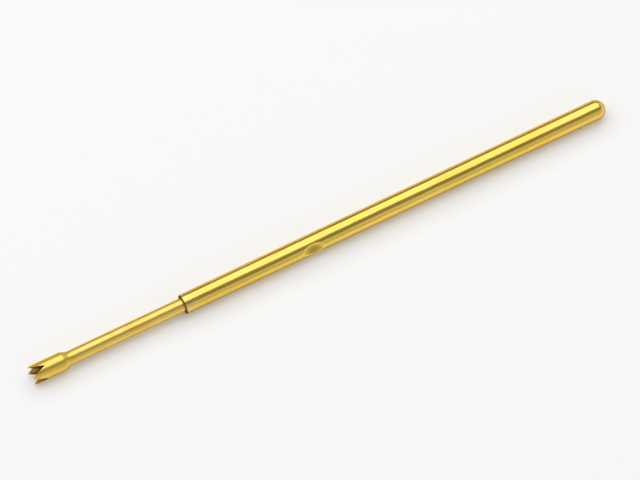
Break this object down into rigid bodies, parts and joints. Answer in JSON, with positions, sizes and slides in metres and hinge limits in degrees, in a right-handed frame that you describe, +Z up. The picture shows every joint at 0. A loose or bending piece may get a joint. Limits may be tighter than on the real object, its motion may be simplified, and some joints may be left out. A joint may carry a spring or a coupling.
{
  "type": "test probe tip",
  "caption": "Spring-loaded test probe tip: a slim gold-plated tube with a sprung plunger whose crown head bites on a test point when the probe is pressed down",
  "frame": {"origin": "on the probe's axis, in the plane of the barrel's mouth", "axes": "+X along the axis from the crown to the domed rear end, +Z up as the probe lies"},
  "size_m": [0.0333, 0.001, 0.001],
  "materials": {
    "barrel_gold": "drawn tube with bright gold plating",
    "plunger_gold": "turned rod with bright gold plating",
    "spring_steel": "bright spring wire"
  },
  "bodies": {
    "barrel": {"barrel": "barrel_gold", "spring": "spring_steel"},
    "plunger": {"plunger": "plunger_gold"}
  },
  "joints": [
    {"name": "plunger_slide", "type": "slide", "parent": "barrel", "child": "plunger", "axis": [1, 0, 0], "range_m": [0, 0.00635], "stiffness_N_per_m": 240, "deforming": ["spring"]}
  ]
}
